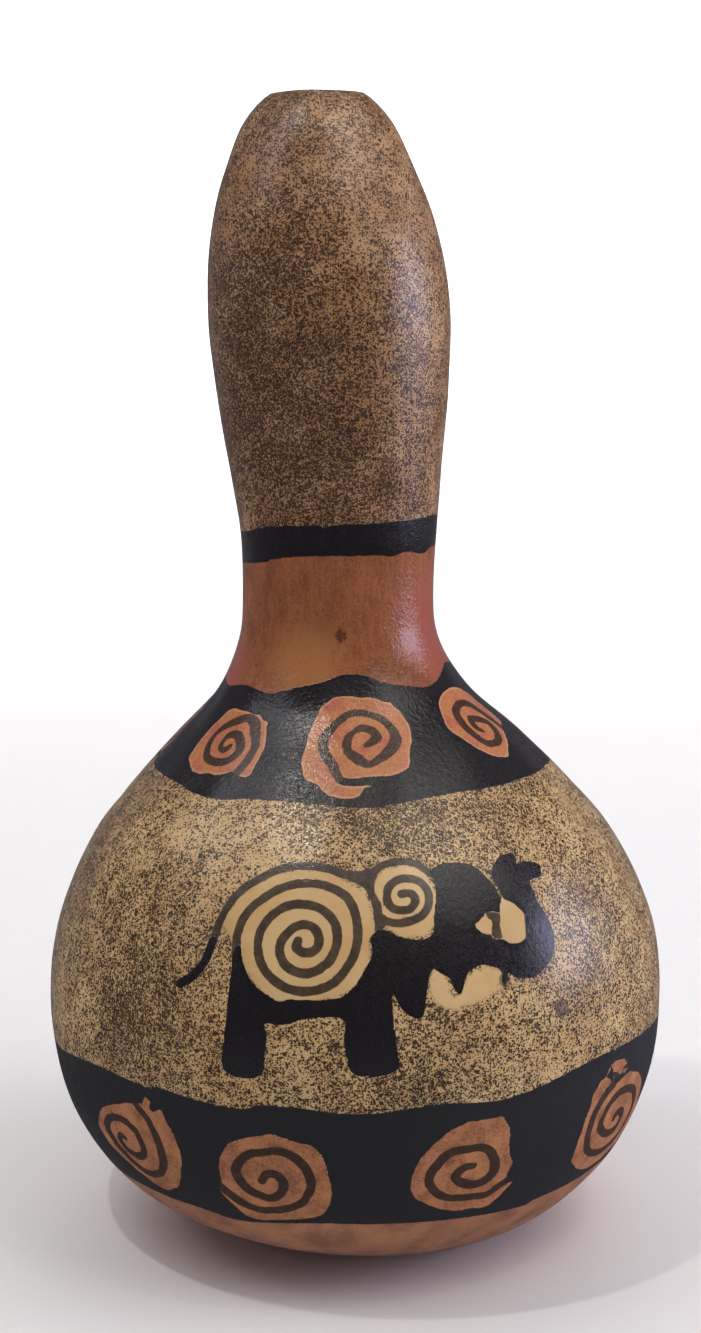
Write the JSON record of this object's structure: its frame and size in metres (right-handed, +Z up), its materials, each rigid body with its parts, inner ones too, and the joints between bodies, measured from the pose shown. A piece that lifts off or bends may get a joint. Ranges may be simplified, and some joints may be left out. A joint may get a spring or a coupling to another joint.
{
  "type": "painted gourd",
  "caption": "Dried bottle gourd standing on its belly, painted with black bands, spiral roundels and an elephant over a speckled tan rind.",
  "frame": {"origin": "middle of the flat foot, on the surface that the gourd stands on", "axes": "+Z up the gourd from its foot to its crown, -Y towards the viewer who faces the painted elephant, +X to that viewer's right"},
  "size_m": [0.1893, 0.1893, 0.34],
  "materials": {
    "painted_rind": "satin varnish over hand-painted dry rind"
  },
  "bodies": {
    "root": {"gourd": "painted_rind"}
  },
  "joints": []
}
